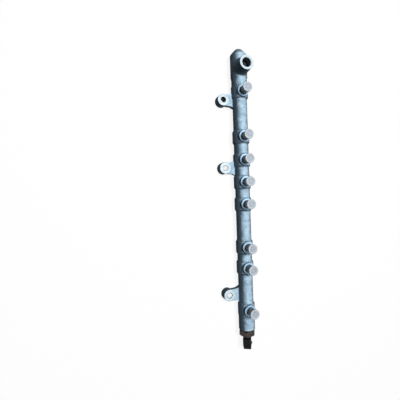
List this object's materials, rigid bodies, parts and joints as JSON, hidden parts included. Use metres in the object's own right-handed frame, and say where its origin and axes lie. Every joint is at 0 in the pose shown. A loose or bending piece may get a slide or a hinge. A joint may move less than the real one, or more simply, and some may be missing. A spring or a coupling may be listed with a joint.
{
  "type": "fuel rail",
  "caption": "Forged high-pressure fuel rail with capped threaded outlets, an open port, bolt-down lugs and a screwed-in pressure sensor.",
  "frame": {"origin": "centre of the middle bolt hole on the plane of the three machined feet", "axes": "+Z the way the outlets, the open port and the bolts point; +Y along the rail towards its closed head; the rail lies on the +X side of its bolts"},
  "size_m": [0.0584, 0.546, 0.0515],
  "materials": {
    "coated_forged_steel": "hot-forged steel with a matt silver-blue zinc coat, machined faces brighter",
    "plug_plastic": "milky translucent moulded polyethylene",
    "sensor_steel": "turned steel with a dark brown conversion coat",
    "seal_iron": "soft iron, dark",
    "stainless_steel": "turned stainless steel",
    "carrier_plastic": "black glass-filled moulding",
    "circuit_board": "green lacquered board",
    "seal_rubber": "smooth black rubber",
    "connector_plastic": "black glass-filled moulding, finely grained",
    "spring_bronze": "rolled bronze strip",
    "tinned_brass": "tin-plated blades"
  },
  "bodies": {
    "root": {"rail_body": "coated_forged_steel", "outlet_plug_1": "plug_plastic", "outlet_plug_2": "plug_plastic", "outlet_plug_3": "plug_plastic", "outlet_plug_4": "plug_plastic", "outlet_plug_5": "plug_plastic", "outlet_plug_6": "plug_plastic", "outlet_plug_7": "plug_plastic", "outlet_plug_8": "plug_plastic", "sensor_body": "sensor_steel", "sensor_seal_washer": "seal_iron", "sensor_membrane": "stainless_steel", "sensor_board_carrier": "carrier_plastic", "sensor_circuit_board": "circuit_board", "sensor_o_ring": "seal_rubber", "sensor_connector": "connector_plastic", "sensor_contact_spring_1": "spring_bronze", "sensor_contact_spring_2": "spring_bronze", "sensor_contact_spring_3": "spring_bronze", "sensor_terminal_1": "tinned_brass", "sensor_terminal_2": "tinned_brass", "sensor_terminal_3": "tinned_brass"}
  },
  "joints": []
}
